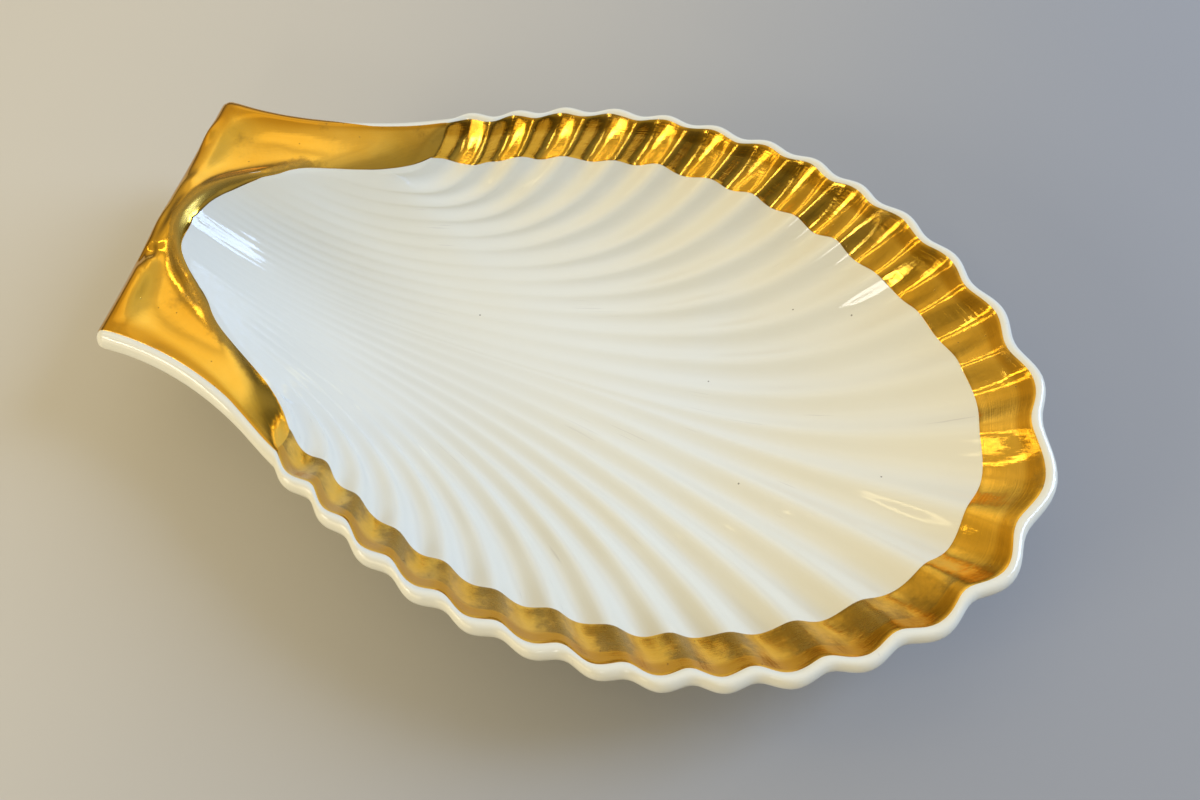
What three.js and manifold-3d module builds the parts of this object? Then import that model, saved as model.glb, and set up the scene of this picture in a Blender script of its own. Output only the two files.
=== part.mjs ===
import * as THREE from 'three';
import { mergeVertices } from 'three/addons/utils/BufferGeometryUtils.js';
import Module from 'manifold-3d';

// Shell-shaped butter dish in glazed porcelain with fired gilding. Millimetres, +Z up.
// The long axis is X: the eared tab is at -X and the wide fluted end at +X.

// Porcelain body.
const bodyLength = 230;      // tab end to the middle lobe, before the skew of the tab
const bodyWidth = 153;       // across the widest pair of lobes
const bowlDepth = 26.5;      // lip crest down to the bowl floor
const wallThickness = 4;
const tabThickness = 5;
const lipRadius = 3.1;       // outer round of the lip
const noseHeight = 1.4;      // blunt edge under the outer round
const scallopDepth = 2;      // how far a lobe of mean width stands out from its notches
const fanPitch = 1.66;       // width of one flute where the fan starts, at the tab end
const earDish = 2.8;         // hollow of each ear below the crest of the lip
const earSoftness = 4;       // run over which an ear falls away from its edges
const ridgeSwing = 3.3;      // how far the ridge between bowl and ears rises and dips
const tabSkew = 3;           // one corner of the tab sits this far back, the other this far forward
const cornerRadius = 4;      // corners of the tab

// Foot ring, an oval coil under the bowl.
const footLength = 96;
const footBreadth = 64;
const footWidth = 5;
const footClearance = 3.2;   // underside of the bowl floor above the table
const footOffset = 18;       // centre of the foot from the deepest point, towards the tab

// Gilding, a fired film that is drawn thicker than the real one.
const giltWidth = 9.4;       // from the lip crest down the inside of the bowl
const giltThickness = 0.4;
const seatGap = 0.35;        // between the porcelain and each piece on it

// Counts.
const fineSamples = 6;       // columns to a lobe near the rim
const coarseSamples = 2;     // columns to a lobe near the tab
const footSegments = 48;

// Each notch of the rim, from the middle lobe to the tab: its place as shares of the half length
// and the half width, then the heading in degrees of the rib that ends there.
const notchShares = [
  [0.957, 0.199, 19], [0.877, 0.448, 35], [0.765, 0.633, 44], [0.649, 0.766, 50],
  [0.526, 0.861, 55], [0.416, 0.923, 58], [0.299, 0.966, 62], [0.177, 0.973, 65],
  [0.05, 0.973, 68], [-0.068, 0.95, 73], [-0.19, 0.905, 78], [-0.301, 0.841, 83],
  [-0.399, 0.77, 87], [-0.495, 0.71, 90],
];
// Guide curves of an ear, from the tab end to the rim, as the four points of a cubic curve in
// shares of the half length and half width: along the ridge, and along the side of the tab.
const ridgeGuideShares = [[-1, 0.353], [-0.765, 0.314], [-0.557, 0.431], [-0.526, 0.688]];
const sideGuideShares = [[-1, 0.52], [-0.887, 0.502], [-0.748, 0.529], [-0.591, 0.64]];
// Ridge between the bowl and an ear, from the last notch to the beak: shares of the half length,
// the half width and the ridge's swing above the crest of the lip.
const ridgeShares = [
  [-0.513, 0.654, -0.2], [-0.561, 0.556, -1.1], [-0.606, 0.477, -1.1], [-0.678, 0.399, -1],
  [-0.757, 0.331, -0.35], [-0.8, 0.275, 0], [-0.835, 0.235, 0.25], [-0.892, 0.17, 0.6],
  [-0.926, 0.092, 0.7], [-0.943, 0, 0.7],
];
// Deepest point of the bowl, as a share of the half length.
const bowlCentreShare = 0.228;
// Steepness of the bowl's wall, as the exponent of its profile.
const steepness = { wideEnd: 2.1, sides: 3, beak: 5.4 };
// Reach of a rib's first and last bend, as shares of the straight line between its ends, for a
// rib on the axis and what the outermost rib adds.
const bendShares = { first: 0.37, firstMore: 0.145, last: 0.24, lastMore: 0.14 };
const fanTurn = THREE.MathUtils.degToRad(14);   // heading of the outermost rib at the tab end
// Rows between the ridge and the gilding, and columns beyond the last notch.
const coarseRowShares = [0.03, 0.09, 0.17, 0.26, 0.36, 0.46];
const fineRowShares = [0.57, 0.7, 0.85];
const wallColumnShares = [0.5, 1];
const earColumnShares = [0.25, 0.5, 0.75, 0.93, 1];
// Where the flutes of the underside fade out, as shares of the way from the bowl's centre.
const smoothShares = { from: 0.5, to: 0.75 };

const halfLength = bodyLength / 2;
const halfWidth = bodyWidth / 2;
const floorHeight = footClearance + wallThickness;
const crestHeight = floorHeight + bowlDepth;
const bowlCentreX = bowlCentreShare * halfLength;
const lastNotch = notchShares.length - 0.5;
const wasm = await Module();
wasm.setup();

function mix(a, b, share) {
  return a + (b - a) * share;
}

function mixPoints(a, b, share) {
  return a.map((v, k) => mix(v, b[k], share));
}

function clamped(v) {
  return Math.min(1, Math.max(0, v));
}

function onBody(shares, side) {
  return shares.map(([x, y]) => [x * halfLength, y * halfWidth * side]);
}

// Smooth curve through rows of numbers, with the position counted in rows.
function curveAt(rows, position) {
  const i = Math.max(0, Math.min(rows.length - 2, Math.floor(position)));
  const f = position - i;
  const before = rows[Math.max(0, i - 1)];
  const after = rows[Math.min(rows.length - 1, i + 2)];
  return rows[i].map((v, k) => {
    const w = rows[i + 1][k];
    const leave = (w - before[k]) / 2;
    const arrive = (after[k] - v) / 2;
    const bend = 3 * (w - v) - 2 * leave - arrive;
    return v + leave * f + bend * f * f + (2 * (v - w) + leave + arrive) * f * f * f;
  });
}

// Lobes are numbered from 0 in the middle, so notches lie at half numbers.
const notchRows = notchShares.map(([x, y, heading]) => [x * halfLength, y * halfWidth, heading]);
const rimRows = [...notchRows.map(([x, y, heading]) => [x, -y, -heading]).reverse(), ...notchRows];
const rimSteps = rimRows.slice(1).map(([x, y], i) => Math.hypot(x - rimRows[i][0], y - rimRows[i][1]));
const meanPitch = rimSteps.reduce((a, b) => a + b) / rimSteps.length;

function notchLine(s) {
  return curveAt(rimRows, s + lastNotch);
}

function lobeShape(s) {
  return Math.abs(Math.cos(Math.PI * s)) ** 1.2;
}

// Point of the scalloped outline, and how far the middle of its lobe stands out.
function rimPoint(s) {
  const from = Math.max(-lastNotch, s - 0.25);
  const to = Math.min(lastNotch, s + 0.25);
  const [ax, ay] = notchLine(from);
  const [bx, by] = notchLine(to);
  const outShare = scallopDepth / (meanPitch * (to - from));
  const [x, y] = notchLine(s);
  const at = [x + (by - ay) * outShare * lobeShape(s), y - (bx - ax) * outShare * lobeShape(s)];
  return { at, standOut: outShare * Math.hypot(bx - ax, by - ay) };
}

// One line of the fan, from the tab end to the rim, as the four points of a cubic curve.
function fanLine(s) {
  const spread = Math.abs(s) / lastNotch;
  const start = [-halfLength, fanPitch * s];
  const [x, y, degrees] = notchLine(s);
  const end = rimPoint(s).at;
  const reach = Math.hypot(x - start[0], y - start[1]);
  const turn = fanTurn * Math.sign(s) * spread ** 3;
  const heading = THREE.MathUtils.degToRad(degrees);
  const first = reach * (bendShares.first + bendShares.firstMore * spread);
  const last = reach * (bendShares.last + bendShares.lastMore * spread);
  return [
    start,
    [start[0] + first * Math.cos(turn), start[1] + first * Math.sin(turn)],
    [end[0] - last * Math.cos(heading), end[1] - last * Math.sin(heading)],
    end,
  ];
}

function pointAt([a, b, c, d], t) {
  const u = 1 - t;
  return a.map((v, k) => u ** 3 * v + 3 * u * u * t * b[k] + 3 * u * t * t * c[k] + t ** 3 * d[k]);
}

// Line of any column: the fan, then the wall beside it, then the ear out to the tab's side.
function columnLine(column) {
  const beyond = Math.abs(column) - lastNotch;
  const side = Math.sign(column);
  if (beyond <= 0) return fanLine(column);
  const ridge = onBody(ridgeGuideShares, side);
  if (beyond <= 1) return fanLine(side * lastNotch).map((p, k) => mixPoints(p, ridge[k], beyond));
  return ridge.map((p, k) => mixPoints(p, onBody(sideGuideShares, side)[k], beyond - 1));
}

// Rim of the bowl seen from its deepest point: direction, distance and height.
function bowlRimTable() {
  const rim = [];
  for (let s = 0; s <= lastNotch; s += 0.25) {
    const { standOut } = rimPoint(s);
    const [x, y] = notchLine(s);
    const inward = (lipRadius - standOut / 2) / Math.hypot(x - bowlCentreX, y);
    rim.push([mix(x, bowlCentreX, inward), y * (1 - inward), crestHeight]);
  }
  for (let i = 0; i <= ridgeShares.length - 1; i += 0.25) {
    const [x, y, swing] = curveAt(ridgeShares, i);
    rim.push([x * halfLength, y * halfWidth, crestHeight + swing * ridgeSwing]);
  }
  return rim.map(([x, y, z]) => [Math.atan2(y, x - bowlCentreX), Math.hypot(x - bowlCentreX, y), z]);
}

const bowlRim = bowlRimTable();

// Where a point lies in the bowl: 0 at the deepest point, 1 on the crest or the ridge.
function bowlPlace([x, y]) {
  const angle = Math.abs(Math.atan2(y, x - bowlCentreX));
  let i = 0;
  while (i < bowlRim.length - 2 && bowlRim[i + 1][0] < angle) i += 1;
  const share = clamped((angle - bowlRim[i][0]) / (bowlRim[i + 1][0] - bowlRim[i][0]));
  const [, radius, height] = mixPoints(bowlRim[i], bowlRim[i + 1], share);
  const end = angle < Math.PI / 2 ? steepness.wideEnd : steepness.beak;
  const steep = mix(end, steepness.sides, Math.sin(angle) ** 2);
  return { q: Math.hypot(x - bowlCentreX, y) / radius, radius, height, steep };
}

// Bowl without its flutes, carried on at the same slope beyond its rim.
function bowlHeight({ q, height, steep }) {
  const rise = q < 1 ? q ** steep : 1 + steep * (q - 1);
  return floorHeight + (height - floorHeight) * rise;
}

function bowlSlope({ q, radius, height, steep }) {
  return steep * Math.min(1, q) ** (steep - 1) * (height - floorHeight) / radius;
}

function earHeight({ q, radius, height }, edge) {
  const fromRidge = 1 - Math.exp(-(q - 1) * radius / earSoftness);
  const fromEdge = 1 - Math.exp(-Math.max(0, edge - lipRadius) / earSoftness);
  return mix(height, crestHeight, fromRidge) - earDish * fromRidge * fromEdge;
}

// Fall of the lip's outer round at a distance in from the outline.
function lipFall(edge) {
  return lipRadius - Math.sqrt(lipRadius ** 2 - Math.max(0, lipRadius - edge) ** 2);
}

// Tab end out of square, and its corners rounded.
function finishedPlan([x, y]) {
  const cornerX = cornerRadius - halfLength;
  const cornerY = sideGuideShares[0][1] * halfWidth - cornerRadius;
  const u = Math.max(0, (cornerX - x) / cornerRadius);
  const v = Math.max(0, (Math.abs(y) - cornerY) / cornerRadius);
  const pull = u > 0 && v > 0 ? Math.max(u, v) / Math.hypot(u, v) : 1;
  const roundX = x + u * (1 - pull) * cornerRadius;
  const roundY = y - Math.sign(y) * v * (1 - pull) * cornerRadius;
  const tabStart = ridgeGuideShares.at(-1)[0];
  const alongTab = clamped((x / halfLength - tabStart) / (-1 - tabStart));
  return [roundX - tabSkew * alongTab * roundY / (cornerY + cornerRadius), roundY];
}

// Rows run from the tab end, past the ridge, to the rim.
const endDistances = [0, lipRadius / 4, lipRadius];
const rimDistances = [lipRadius + giltWidth, lipRadius + giltWidth / 2, lipRadius, lipRadius / 4, 0];
const innerRowShares = [...coarseRowShares, ...fineRowShares];
const ridgeRow = endDistances.length + 1;
const fineRow = ridgeRow + coarseRowShares.length + 1;
const giltRow = ridgeRow + innerRowShares.length + 1;
const crestRow = giltRow + 2;
const rowCount = giltRow + rimDistances.length;

// Place along a line where it passes over the ridge into the bowl.
function ridgePlace(line) {
  let outside = 0;
  let inside = 0.5;
  for (let i = 0; i < 30; i += 1) {
    const middle = (outside + inside) / 2;
    if (bowlPlace(pointAt(line, middle)).q > 1) outside = middle;
    else inside = middle;
  }
  return inside;
}

const earRidgePlace = ridgePlace(fanLine(lastNotch));

function rowPlaces(column) {
  const line = columnLine(column);
  const firstReach = 3 * Math.hypot(line[1][0] - line[0][0], line[1][1] - line[0][1]);
  const lastReach = 3 * Math.hypot(line[3][0] - line[2][0], line[3][1] - line[2][1]);
  const ends = endDistances.map((distance) => distance / firstReach);
  const ridge = Math.abs(column) <= lastNotch ? ridgePlace(line) : earRidgePlace;
  const rims = rimDistances.map((distance) => 1 - distance / lastReach);
  const inner = innerRowShares.map((share) => mix(ridge, rims[0], share));
  return [...ends, mix(ends.at(-1), ridge, 0.5), ridge, ...inner, ...rims];
}

// Columns run across the dish, with a close pair at each last notch, where the gilding parts.
const parting = lastNotch - seatGap / meanPitch;

function columnNumbers() {
  const numbers = [];
  for (let i = 0; i <= 2 * lastNotch * fineSamples; i += 1) numbers.push(i / fineSamples - lastNotch);
  const beyond = [...wallColumnShares, ...earColumnShares.map((share) => 1 + share)];
  const outer = [parting, ...beyond.map((v) => lastNotch + v)];
  return [...numbers, ...outer, ...outer.map((v) => -v)].sort((a, b) => a - b);
}

function placeOn(line, t) {
  const bare = pointAt(line, t);
  return { t, bare, plan: finishedPlan(bare) };
}

const columns = columnNumbers();
const planGrid = columns.map((column) => {
  return rowPlaces(column).map((t) => placeOn(columnLine(column), t));
});
const outline = [
  ...planGrid[0].map(({ plan }) => plan),
  ...planGrid.map((places) => places.at(-1).plan),
  ...planGrid.at(-1).map(({ plan }) => plan).reverse(),
  ...planGrid.map((places) => places[0].plan).reverse(),
];

function edgeDistance([x, y]) {
  let nearest = Infinity;
  for (let i = 1; i < outline.length; i += 1) {
    const [ax, ay] = outline[i - 1];
    const dx = outline[i][0] - ax;
    const dy = outline[i][1] - ay;
    const along = clamped(((x - ax) * dx + (y - ay) * dy) / (dx * dx + dy * dy || 1));
    nearest = Math.min(nearest, Math.hypot(x - ax - dx * along, y - ay - dy * along));
  }
  return nearest;
}

// Width of one flute across its line.
function flutePitch(s, t) {
  const from = Math.max(-lastNotch, s - 0.25);
  const to = Math.min(lastNotch, s + 0.25);
  const a = pointAt(fanLine(from), t);
  const b = pointAt(fanLine(to), t);
  const here = pointAt(fanLine(s), t);
  const ahead = pointAt(fanLine(s), t + 0.01);
  const run = [ahead[0] - here[0], ahead[1] - here[1]];
  return Math.abs(run[0] * (b[1] - a[1]) - run[1] * (b[0] - a[0])) / Math.hypot(...run) / (to - from);
}

// Channel between two ribs, as deep at the rim as keeps the crest level from lobe to lobe.
function channelDepth(column, t, fade) {
  if (Math.abs(column) > lastNotch) return 0;
  const { standOut } = rimPoint(column);
  const slope = bowlSlope({ ...bowlPlace(notchLine(column)), q: 1 });
  return fade * standOut * slope * lobeShape(column) * flutePitch(column, t) / flutePitch(column, 1);
}

// Upper and lower surface of the body at one grid point.
function bodyPoint(i, row) {
  const { t, bare, plan } = planGrid[i][row];
  const edge = edgeDistance(plan);
  const place = bowlPlace(bare);
  const onEar = Math.abs(columns[i]) > lastNotch;
  const onFlutes = row > giltRow && !onEar;
  const inBowl = place.q <= 1 || onFlutes;
  const channel = channelDepth(columns[i], t, onFlutes ? 1 : clamped((1 - place.q) / 0.03));
  const underShare = clamped((place.q - smoothShares.from) / (smoothShares.to - smoothShares.from));
  const wall = wallThickness * Math.hypot(1, bowlSlope(place));
  const bowlUnder = bowlHeight(place) - channel * underShare - wall;
  const tabUnder = crestHeight - tabThickness - earDish * (1 - Math.exp(-edge / earSoftness));
  if (row >= crestRow && !onEar) {
    return { plan, top: crestHeight - lipFall(edge), under: crestHeight - wall };
  }
  const upper = inBowl ? bowlHeight(place) - channel : earHeight(place, edge);
  const nearTab = inBowl ? Math.min(bowlUnder, tabUnder) : tabUnder;
  return { plan, top: upper - lipFall(edge), under: onEar || row <= fineRow ? nearTab : bowlUnder };
}

const body = columns.map((_, i) => planGrid[i].map((__, row) => {
  const point = bodyPoint(i, row);
  const onOutline = row === 0 || row === rowCount - 1 || i === 0 || i === columns.length - 1;
  return onOutline ? { ...point, under: point.top - noseHeight } : point;
}));

// Cells of the grid as rings of [column, row]; near the tab only the main columns are kept.
function cellsOf(keep) {
  const main = columns.map((s) => Number.isInteger(s * coarseSamples) || Math.abs(s) > lastNotch);
  const cells = [];
  for (let row = 0; row < rowCount - 1; row += 1) {
    const inRow = (j) => columns.map((_, i) => i).filter((i) => main[i] || j >= fineRow);
    const near = inRow(row);
    const next = inRow(row + 1);
    for (let k = 1; k < near.length; k += 1) {
      const [from, to] = [near[k - 1], near[k]];
      const far = next.filter((i) => i >= from && i <= to);
      const cell = [[from, row], ...far.map((i) => [i, row + 1]), [to, row]];
      if (keep((columns[from] + columns[to]) / 2, row)) cells.push(cell);
    }
  }
  return cells;
}

// Closed solid between two heights over the kept cells.
function sheetSolid(keep, upperHeight, lowerHeight) {
  const ids = new Map();
  const positions = [];
  const vertex = ([i, row], height) => {
    const key = `${i},${row},${height === upperHeight}`;
    if (!ids.has(key)) {
      ids.set(key, ids.size);
      positions.push(...body[i][row].plan, height(body[i][row]));
    }
    return ids.get(key);
  };
  const indices = [];
  const walls = new Map();
  for (const cell of cellsOf(keep)) {
    for (let k = 1; k < cell.length - 1; k += 1) {
      const corners = [cell[0], cell[k], cell[k + 1]];
      indices.push(...corners.map((corner) => vertex(corner, upperHeight)));
      indices.push(...corners.reverse().map((corner) => vertex(corner, lowerHeight)));
    }
    cell.forEach((corner, k) => {
      const next = cell[(k + 1) % cell.length];
      if (!walls.delete(`${next}|${corner}`)) walls.set(`${corner}|${next}`, [corner, next]);
    });
  }
  for (const [a, b] of walls.values()) {
    const [topA, topB] = [vertex(a, upperHeight), vertex(b, upperHeight)];
    const [lowA, lowB] = [vertex(a, lowerHeight), vertex(b, lowerHeight)];
    indices.push(lowA, lowB, topB, lowA, topB, topA);
  }
  const geometry = new THREE.BufferGeometry();
  geometry.setAttribute('position', new THREE.Float32BufferAttribute(positions, 3));
  geometry.setIndex(indices);
  return geometry;
}

function toSolid(geometry) {
  const bare = geometry.clone();
  bare.deleteAttribute('normal');
  bare.deleteAttribute('uv');
  const merged = mergeVertices(bare);
  const vertProperties = new Float32Array(merged.attributes.position.array);
  const triVerts = new Uint32Array(merged.index.array);
  return new wasm.Manifold(new wasm.Mesh({ numProp: 3, vertProperties, triVerts }));
}

function toGeometry(solid) {
  const mesh = solid.getMesh();
  const geometry = new THREE.BufferGeometry();
  geometry.setAttribute('position', new THREE.BufferAttribute(mesh.vertProperties, 3));
  geometry.setIndex(new THREE.BufferAttribute(mesh.triVerts, 1));
  return geometry;
}

function porcelainBody() {
  return sheetSolid(() => true, (point) => point.top, (point) => point.under);
}

function gilding(keep) {
  const under = (point) => point.top + seatGap;
  return sheetSolid(keep, (point) => point.top + seatGap + giltThickness, under);
}

function rimGilding() {
  return gilding((s, row) => Math.abs(s) < parting && row >= giltRow && row < crestRow);
}

// The tab's gilding runs out over the end of the tab. Elsewhere it stops at the crest of the lip,
// at the ridge, and at the last notch.
function tabGilding() {
  const crestColumn = lastNotch + 1 + earColumnShares.at(-3);
  const onStrip = (row) => row >= endDistances.length - 2 && row < ridgeRow;
  const onEar = (s, row) => Math.abs(s) > lastNotch && row >= ridgeRow && row < crestRow;
  return gilding((s, row) => Math.abs(s) < crestColumn && (onStrip(row) || onEar(s, row)));
}

// Oval ring whose upper face follows the underside of the bowl.
function footRing() {
  const centre = bowlCentreX - footOffset;
  const oval = new THREE.Shape();
  oval.absellipse(centre, 0, footLength / 2, footBreadth / 2, 0, 2 * Math.PI);
  const hollow = new THREE.Path();
  hollow.absellipse(centre, 0, footLength / 2 - footWidth, footBreadth / 2 - footWidth, 0, 2 * Math.PI);
  oval.holes.push(hollow);
  const settings = { depth: crestHeight, bevelEnabled: false, curveSegments: footSegments };
  const blank = toSolid(new THREE.ExtrudeGeometry(oval, settings));
  const above = sheetSolid(() => true, () => 2 * crestHeight, (point) => point.under - seatGap);
  return toGeometry(blank.subtract(toSolid(above)));
}

const porcelain = { color: 0xe9ebe6, roughness: 0.14, metalness: 0 };
const groundPorcelain = { color: 0xd8d2c4, roughness: 0.85, metalness: 0 };
const gold = { color: 0xc89222, roughness: 0.2, metalness: 1 };

function named(name, geometry, finish) {
  const shaded = geometry.toNonIndexed();
  shaded.computeVertexNormals();
  const mesh = new THREE.Mesh(shaded, new THREE.MeshStandardMaterial(finish));
  mesh.name = name;
  return mesh;
}

// The origin is on the table, under the middle of the outline's length.
const outlineEnds = outline.map(([x]) => x);
const dish = new THREE.Group();
dish.name = 'shell_butter_dish';
dish.position.x = -mix(Math.min(...outlineEnds), Math.max(...outlineEnds), 0.5);
dish.add(
  named('porcelain_body', porcelainBody(), porcelain),
  named('foot_ring', footRing(), groundPorcelain),
  named('rim_gilding', rimGilding(), gold),
  named('tab_gilding', tabGilding(), gold),
);

export default dish;
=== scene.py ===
import math

import bpy
import numpy as np
from mathutils import Matrix, Vector
from mathutils.bvhtree import BVHTree


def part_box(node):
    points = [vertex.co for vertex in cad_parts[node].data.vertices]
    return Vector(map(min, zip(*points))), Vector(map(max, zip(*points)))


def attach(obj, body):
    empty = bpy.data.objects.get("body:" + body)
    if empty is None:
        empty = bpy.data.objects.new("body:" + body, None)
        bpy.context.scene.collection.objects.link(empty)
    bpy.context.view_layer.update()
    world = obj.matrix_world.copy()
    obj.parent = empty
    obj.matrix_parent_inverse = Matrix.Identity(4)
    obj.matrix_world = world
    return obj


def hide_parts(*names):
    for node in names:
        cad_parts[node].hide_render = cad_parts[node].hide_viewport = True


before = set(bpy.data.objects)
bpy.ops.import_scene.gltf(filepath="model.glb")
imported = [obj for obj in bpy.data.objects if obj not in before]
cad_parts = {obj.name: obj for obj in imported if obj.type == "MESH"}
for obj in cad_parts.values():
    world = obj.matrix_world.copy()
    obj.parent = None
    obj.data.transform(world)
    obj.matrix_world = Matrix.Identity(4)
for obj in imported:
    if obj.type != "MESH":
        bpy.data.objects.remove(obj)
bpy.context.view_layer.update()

# A scallop-shell butter dish in glazed porcelain with worn fired gilding.
# Forms are worked out in millimetres, with the tab at -X, and set in metres.
mm = 0.001
bodyLow, bodyHigh = (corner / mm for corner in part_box("porcelain_body"))
footLow, footHigh = (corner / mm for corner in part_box("foot_ring"))

shell = dict(
    tabReach=1.6,           # how far the skewed corners of the tab stand past the half length
    ridgeRise=2.33,         # the ridge at the beak above the crest of the lip
    wall=4,
    leastWall=0.3,
    tabThickness=5,
    lipRound=3.1,           # outer round of the lip
    nose=1.4,               # blunt edge under the outer round
    noseRound=1.0,
    scallop=2,              # how far a lobe of mean width stands out from its notches
    lobeSoftness=0.2,       # 0 gives knife-sharp ribs and notches
    lobePower=1.4,
    innerSoftness=0.8,      # the same two well inside the bowl
    innerPower=1,
    fanPitch=1.66,          # width of a flute at the tab end
    earDish=2.8,
    earSoftness=4,
    earOnset=0.8,           # rounds the line where the hollow of an ear begins
    earBlend=11,            # rounds the hollow of an ear where side and end meet
    ridgeSwing=3.3,
    tabSkew=3,
    tabFrom=0.5,            # where the bowl gives way to the tab, as a share of the half length
    tabRun=12,              # and over what length it does
    underTabFrom=0.4,       # the same on the underside
    underTabRun=20,
    underBlend=3,           # rounding between bowl and tab on the underside
    cornerRound=3.2,
    facetWidth=5.6,         # bevel along the end of the tab
    facetDrop=0.9,
    facetPower=1.5,
    ridgeBlend=4,           # rounding of the ridge and of the crest of the lip
    crestBlend=1.3,
)
halfLength = (bodyHigh.x - bodyLow.x) / 2 - shell["tabReach"]
halfWidth = (bodyHigh.y - bodyLow.y) / 2
crest = bodyHigh.z - shell["ridgeRise"]
bowlFloor = bodyLow.z + shell["wall"]

# Each notch of the rim, from the middle lobe to the tab: place as shares of the half length and
# half width, then the heading in degrees of the rib that ends there.
notchShares = [
    (0.957, 0.199, 19), (0.877, 0.448, 35), (0.765, 0.633, 44), (0.649, 0.766, 50),
    (0.526, 0.861, 55), (0.416, 0.923, 58), (0.299, 0.966, 62), (0.177, 0.973, 65),
    (0.05, 0.973, 68), (-0.068, 0.95, 73), (-0.19, 0.905, 78), (-0.301, 0.841, 83),
    (-0.399, 0.77, 87), (-0.495, 0.71, 90),
]
# Guides of an ear, from the tab end to the rim: along the ridge, and along the side of the tab.
ridgeGuideShares = [(-1, 0.353), (-0.765, 0.314), (-0.557, 0.431), (-0.526, 0.688)]
sideGuideShares = [(-1, 0.52), (-0.887, 0.502), (-0.748, 0.529), (-0.591, 0.64)]
# Ridge from the last notch to the beak: shares of length and width, then of the ridge's swing.
ridgeShares = [
    (-0.513, 0.654, -0.2), (-0.561, 0.556, -1.1), (-0.606, 0.477, -1.1), (-0.678, 0.399, -1),
    (-0.757, 0.331, -0.35), (-0.8, 0.275, 0), (-0.835, 0.235, 0.25), (-0.892, 0.17, 0.6),
    (-0.926, 0.092, 0.7), (-0.943, 0, 0.7),
]
bowl = dict(
    centre=0.228,           # deepest point, as a share of the half length
    wideEnd=2.1,            # steepness of the wall, as the exponent of its profile
    sides=3,
    beak=5.4,
    beakFrom=1.2,           # direction in radians from which the beak's profile takes over
    beakRun=0.75,
    firstBend=(0.37, 0.145),    # reach of a rib's bends, on the axis and what the last rib adds
    lastBend=(0.24, 0.14),
    fanTurn=14,             # heading in degrees of the outermost rib at the tab end
    fluteFade=0.1,          # run inside the ridge over which the flutes come up
    fadeUntil=0.6,          # share of a flute's length past which they are up in any case
    beakRelief=0.24,        # share of a flute's full depth at the tab end
    midRelief=1.6,
    midFrom=(0.36, 0.06),   # where it deepens, on the axis and what the last rib adds
    midRun=0.4,
    rimFrom=0.7,            # where it goes over to its full depth at the rim
    rimRun=0.3,
    crispFrom=0.78,         # where the ribs sharpen towards the rim
    crispRun=0.14,
    scoop=0.85,             # extra depth just inside the lip
    scoopFrom=0.78,
    scoopRun=0.12,
    scoopEnd=0.08,          # the last share of a flute, over which the scoop runs out
    underFrom=0.5,          # where the flutes of the underside fade in
    underTo=0.75,
)
lobeCount = 2 * len(notchShares) - 1
lastNotch = len(notchShares) - 0.5
tabSide = lastNotch + 2           # column of the tab's side, with the ridge's guide halfway to it
bowlCentre = bowl["centre"] * halfLength
samples = dict(lip=271, ridge=181, directions=721, outline=541, wall=21, side=61, end=161, atOnce=8000)
blur = dict(reach=16, width=5)    # smooths the rim from direction to direction, counted in directions
tiny = 1e-6


def mix(a, b, share):
    return a + (b - a) * share


def smoothStep(v):
    v = np.clip(v, 0, 1)
    return v * v * (3 - 2 * v)


def softMin(a, b, reach):
    share = np.clip(0.5 + 0.5 * (b - a) / reach, 0, 1)
    return mix(b, a, share) - reach * share * (1 - share)


def curveThrough(rows, places):   # smooth curve through rows of numbers, place counted in rows
    rows = np.asarray(rows, float)
    i = np.clip(np.floor(places).astype(int), 0, len(rows) - 2)
    f = (places - i)[..., None]
    a, b = rows[i], rows[i + 1]
    leave = (b - rows[np.maximum(i - 1, 0)]) / 2
    arrive = (rows[np.minimum(i + 2, len(rows) - 1)] - a) / 2
    bend = 3 * (b - a) - 2 * leave - arrive
    return a + leave * f + bend * f**2 + (2 * (a - b) + leave + arrive) * f**3


notchRows = np.array(notchShares) * (halfLength, halfWidth, 1)
rimRows = np.vstack([notchRows[::-1] * (1, -1, -1), notchRows])
meanPitch = np.linalg.norm(np.diff(rimRows[:, :2], axis=0), axis=1).mean()


def notchLine(s):                 # lobes are numbered from 0 in the middle, notches at half numbers
    return curveThrough(rimRows, s + lastNotch)


def lobeShape(s, soft=shell["lobeSoftness"], power=shell["lobePower"]):
    wave = np.maximum(np.sqrt(np.cos(np.pi * s) ** 2 + soft**2) - soft, 0)
    return (wave / (np.hypot(1, soft) - soft)) ** power


def lobeSides(s):                 # a quarter of a lobe to either side, within the rim
    return np.maximum(s - 0.25, -lastNotch), np.minimum(s + 0.25, lastNotch)


def rimPoint(s):                  # scalloped outline, and how far the middle of a lobe stands out
    low, high = lobeSides(s)
    run = (notchLine(high) - notchLine(low))[..., :2]
    share = shell["scallop"] / (meanPitch * (high - low))
    out = np.stack([run[..., 1], -run[..., 0]], -1) * (share * lobeShape(s))[..., None]
    return notchLine(s)[..., :2] + out, share * np.linalg.norm(run, axis=-1)


def fanLine(s):                   # a line of the fan as the four points of a cubic curve
    spread = np.abs(s) / lastNotch
    start = np.stack([np.full_like(s, -halfLength), shell["fanPitch"] * s], -1)
    heading = np.radians(notchLine(s)[..., 2])
    end = rimPoint(s)[0]
    reach = np.linalg.norm(notchLine(s)[..., :2] - start, axis=-1)
    turn = np.radians(bowl["fanTurn"]) * np.sign(s) * spread**3
    first = reach * (bowl["firstBend"][0] + bowl["firstBend"][1] * spread)
    last = reach * (bowl["lastBend"][0] + bowl["lastBend"][1] * spread)
    leaving = np.stack([np.cos(turn), np.sin(turn)], -1) * first[..., None]
    arriving = np.stack([np.cos(heading), np.sin(heading)], -1) * last[..., None]
    return np.stack([start, start + leaving, end - arriving, end], -2)


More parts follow.
